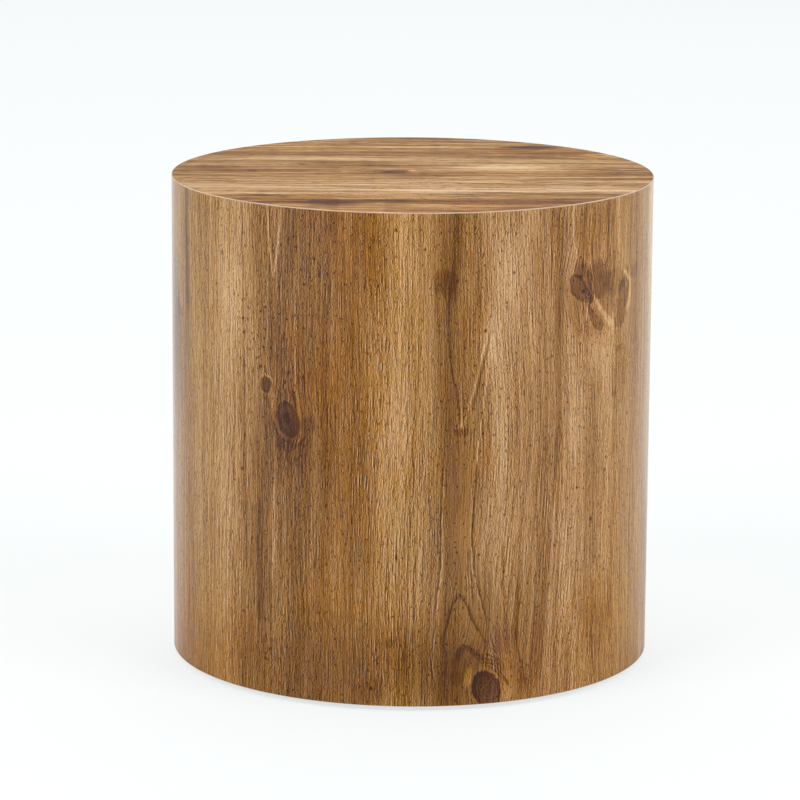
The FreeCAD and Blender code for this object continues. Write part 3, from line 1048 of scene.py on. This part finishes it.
for at, size, share in [
    ((-102, 231), (13, 19), 0.7),
    ((-124, 260), (8, 9), 0.6),
    ((62, 18), (15, 18), 0.7),
    ((146, 338), (12, 16), 0.6),
    ((204, 318), (10, 20), 0.6),
    ((39, 165), (11, 75), 0.45),
    ((44, 60), (22, 40), 0.35),
    ((166, 335), (20, 22), 0.15),
]:
    spot = side.spot(at, size, edge=0.7) * -share
    calm = spot + (calm or 1.0)
side.pale = drawn + (side.pale - drawn) * calm

side.dots(5.5, 1.0, 0.35, -0.3, side.spot((175, 200), (55, 200), edge=0.5))
side.dots(5.5, 1.0, 0.3, -0.3, side.spot((-140, 300), (35, 90), edge=0.4))
side.dots(7.0, 1.1, 0.4, -0.34, side.spot((0, 200), (640, 400), edge=0.5))
relief = side.noise(1.0, 9.0, 11.3, 1.0, side.place)
side_finish.lay(side.colour(), side.pale.spread(0, 1, 0.5, 0.42), relief, 0.01)

sheet_edge = Finish("sheet_edge", 0.3)
layers = cloud(sheet_edge.place, (30.0, 30.0, 0.15), 3.0)
nicks = cloud(sheet_edge.place, (1.5, 1.5, 1.5), 6.0, 3.0)
edge_shade = (layers * 0.2 + 0.6).plus(nicks, 0.15)
sheet_edge.lay(ramp(edge_shade, edge_colours), nicks.spread(-1, 1, 0.5, 0.7), nicks, 0.03)
side_sheet.data.materials.append(side_finish.material)
side_sheet.data.materials.append(sheet_edge.material)


# Top sheet
# The same laminate in a round over the board and over the side sheet's edge, its grain from left to
# right. Its rim is filed to a small bevel, which is coloured a pale cream.
top_low, top_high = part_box("top_laminate")
top_radius = top_high.x
top_sheet = turned(
    "top_sheet",
    [
        (0.0, top_low.z),
        (top_radius, top_low.z),
        (top_radius, top_high.z - arris),
        (top_radius - arris, top_high.z),
        (0.0, top_high.z),
    ],
    [1, 1, 1, 0],
    0.0,
    2 * math.pi,
    round_steps,
)
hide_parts("top_laminate")
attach(top_sheet, "root")

top_finish = Finish("top_print", print_gloss)
right, away, up = top_finish.place.parts()
top = Print(
    away,
    right,
    pale=[
        (-200, 0.545), (-180, 0.545), (-162, 0.465), (-148, 0.405), (-136, 0.395), (-126, 0.485),
        (-112, 0.605), (-96, 0.685), (-84, 0.745), (-72, 0.685), (-56, 0.635), (-40, 0.625),
        (-22, 0.525), (0, 0.485), (20, 0.515), (40, 0.565), (60, 0.615), (76, 0.625), (88, 0.545),
        (100, 0.445), (120, 0.465), (134, 0.565), (142, 0.605), (152, 0.555), (160, 0.575),
        (172, 0.525), (200, 0.505),
    ],
    red=[
        (-200, 1.6), (-140, 1.2), (-100, 0.1), (-40, 0), (10, 1.0), (50, -0.3), (140, 0.4), (200, 0),
    ],
    warm=[(-200, 1.15), (-145, 1.65), (-80, 0.7), (0, 1.15), (60, 0.85), (110, 1.25), (200, 0.75)],
)
top.sway(60, 260, 6.0, 5.7)
top.bend((4, -10), (26, 50), 0.6)
top.bend((145, 110), (30, 60), 0.6)
top.comb()

# Broad soft patches: place across and along the grain, size, paleness and, where given, warmth
for at, size, *shades in [
    ((28, 85), (28, 90), 0.4, -0.2),
    ((38, 85), (18, 50), 0.18, -0.2),
    ((140, 85), (20, 70), -0.16, -0.1),
    ((106, 140), (22, 50), -0.16, 0.4),
    ((120, -130), (18, 50), -0.12),
    ((140, -100), (12, 40), 0.14),
    ((180, 30), (16, 50), -0.14),
    ((182, -60), (14, 40), 0.1),
    ((8, -20), (14, 40), -0.14),
    ((-20, 10), (14, 60), -0.2),
    ((-42, 60), (10, 60), 0.16),
    ((-42, -160), (14, 40), -0.12),
    ((-66, 130), (14, 50), 0.12),
    ((-95, 15), (16, 60), 0.2),
    ((-120, -120), (12, 50), -0.12),
    ((-165, -50), (22, 50), -0.2, 0.1),
    ((-142, -30), (12, 40), -0.1, 0.2),
    ((-30, 60), (16, 90), 0.1),
    ((-78, 60), (26, 90), 0.1),
    ((-120, 50), (10, 60), 0.1),
    ((-144, 60), (16, 70), 0.06, 0.6),
    ((-122, -130), (12, 50), -0.12, 0.2),
    ((78, -105), (16, 70), 0.14),
    ((46, -20), (12, 40), 0.1),
    ((58, 20), (12, 40), 0.1),
    ((-38, 0), (10, 50), 0.1),
    ((-58, 105), (10, 50), 0.1),
    ((84, 75), (14, 50), -0.14, 0.1),
    ((85, 120), (22, 90), -0.12, 0.2),
    ((42, -45), (34, 75), -0.14, 0.2),
    ((22, -168), (17, 46), -0.24, 0.4),
    ((112, 100), (26, 50), -0.08, 0.4),
    ((2, 165), (20, 50), -0.1, 0.6),
    ((38, -15), (7, 44), 0.16),
    ((-120, 75), (12, 50), 0.12),
    ((-180, 45), (14, 40), 0.12),
    ((140, -115), (12, 45), 0.12),
    ((100, -50), (12, 50), 0.06),
    ((-162, -20), (10, 40), -0.1),
    ((100, 140), (12, 30), -0.1),
    ((-40, 40), (12, 60), 0.08),
    ((40, 160), (12, 40), 0.08),
    ((-100, 135), (12, 40), -0.08),
    ((-104, 125), (11, 90), -0.16, 0.2),
    ((-102, -90), (12, 80), -0.08),
    ((-96, 20), (16, 60), 0.06),
    ((-122, -100), (12, 70), -0.14, 0.2),
    ((-150, -75), (26, 75), -0.1, 0.2),
    ((-165, 60), (20, 90), 0.08, 0.2),
    ((185, -10), (14, 70), -0.08, 0.2),
    ((165, -110), (16, 50), 0.12),
]:
    top.patch(at, size, *shades)

# Marks along the grain and knots
for path, profile in [
    (
        [(20, -89), (60, -90), (120, -89), (195, -86)],
        [(-5, -0.1), (-2, -0.06), (0, 0.2), (3, 0.06), (6, 0)],
    ),
    ([(-150, 138), (-60, 141), (60, 139)], [(-4, 0), (0, 0.14), (4, 0)]),
    ([(-110, 163), (0, 158), (90, 166)], [(-4, 0), (0, 0.12), (4, 0)]),
    ([(20, -126), (90, -124), (160, -122)], [(-4, 0), (0, 0.16), (4, 0)]),
    ([(-50, -146), (20, -145), (140, -150)], [(-3, 0), (0, -0.12), (3, 0)]),
    ([(120, 12), (140, 16), (160, 18), (195, 27)], [(-5, 0), (-1.5, -0.14), (1.5, 0.2), (5, 0)]),
    ([(-190, 38), (-150, 36), (-120, 30)], [(-4, 0), (0, 0.14), (4, 0)]),
    ([(-60, -127), (-45, -130), (-20, -126)], [(-5, 0.12), (-2, 0.12), (1, -0.3), (5, 0)]),
]:
    top.stripe(path, profile)
for at, size, *shades in [
    ((4, -15), (10, 24), -0.5, -0.4),
    ((4, 8), (6, 8), -0.2, -0.2),
    ((13, 0), (7, 5), 0.28),
    ((-3, 4), (4, 4), 0.2),
    ((5, -57), (9, 5), 0.14),
    ((35, -22), (12, 16), -0.12, -0.2),
    ((-150, -64), (13, 34), -0.5, -0.4),
    ((-162, -66), (16, 34), -0.22, -0.1),
    ((145, 105), (15, 34), -0.62, -0.4),
    ((143, 85), (10, 24), -0.2),
    ((128, 112), (7, 14), 0.24),
    ((160, 88), (8, 18), 0.18),
    ((24, 175), (10, 8), 0.16),
]:
    top.patch(at, size, *shades)

# Streaks and pores
top.streaks(22, 420, 3.1, 0.1)
top.streaks(9.0, 300, 7.7, 0.15)
top.streaks(4.5, 180, 11.3, 0.14)
top.streaks(2.6, 90, 17.9, 0.12, 1.0)
top.dashes(2.6, 14.0, 23.1, -0.18, 0.4, 1.0, -0.2)
top.dashes(3.0, 30.0, 29.3, 0.16, 0.4, 1.0)
top.fibres(1.6, 26.0, 15.3, 0.28)
top.fibres(1.2, 7.0, 31.7, 0.32)

top.dots(7.0, 1.6, 0.3, -0.3, top.spot((-80, 0), (90, 160), edge=0.4))
relief = top.noise(1.0, 9.0, 11.3, 1.0, top.place)
top_finish.lay(top.colour(), top.pale.spread(0, 1, 0.6, 0.5), relief, 0.03)
top_sheet.data.materials.append(top_finish.material)
top_sheet.data.materials.append(sheet_edge.material)


# Glides
# Four nailed glides keep the drum 4 mm off the floor: a black nylon cup with a disc of pressed felt,
# its edge a little rounded by wear.
nylon_colours = [(0.0, (40, 38, 36)), (0.6, (54, 52, 49)), (1.0, (96, 92, 88))]
felt_colours = [(0.0, (70, 56, 46)), (0.5, (112, 95, 80)), (1.0, (156, 140, 122))]
felt_round = 0.6 * mm
felt_steps = 96
round_shares = (0.0, 0.3, 0.7, 1.0)

nylon = Finish("nylon", 0.45)
grit = cloud(nylon.place, (0.25, 0.25, 0.25), 2.0)
scuffs = cloud(nylon.place, (0.3, 3.0, 0.5), 5.0, 3.0).fade(0.4, 1.0)
nylon.lay(
    ramp((grit * 0.12 + 0.4).plus(scuffs, 0.4), nylon_colours),
    scuffs.spread(0, 1, 0.45, 0.65),
    grit,
    0.01,
)
nylon.on(*[f"glide_cup_{k}" for k in range(1, 5)])

felt = Finish("felt", 0.1)
felt.shader.inputs["Sheen Weight"].default_value = 0.4
hairs = cloud(felt.place, (0.12, 0.8, 0.3), 3.0, 3.0)
tufts = cloud(felt.place, (0.7, 0.3, 0.5), 8.0)
felt.lay(ramp((hairs * 0.22 + 0.5).plus(tufts, 0.2), felt_colours), 0.95, hairs.plus(tufts, 1.0), 0.15)
for k in range(1, 5):
    low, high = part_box(f"glide_felt_{k}")
    half = (high.x - low.x) / 2
    rounding = [
        (
            half - felt_round * (1 - math.sin(share * math.pi / 2)),
            low.z + felt_round * (1 - math.cos(share * math.pi / 2)),
        )
        for share in round_shares
    ]
    outline = [(0.0, low.z), *rounding, (half, high.z), (0.0, high.z)]
    disc = turned(f"felt_disc_{k}", outline, [0] * 6, 0.0, 2 * math.pi, felt_steps)
    disc.data.transform(mathutils.Matrix.Translation((low.x + half, low.y + half, 0.0)))
    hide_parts(f"glide_felt_{k}")
    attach(disc, "root")
    disc.data.materials.append(felt.material)
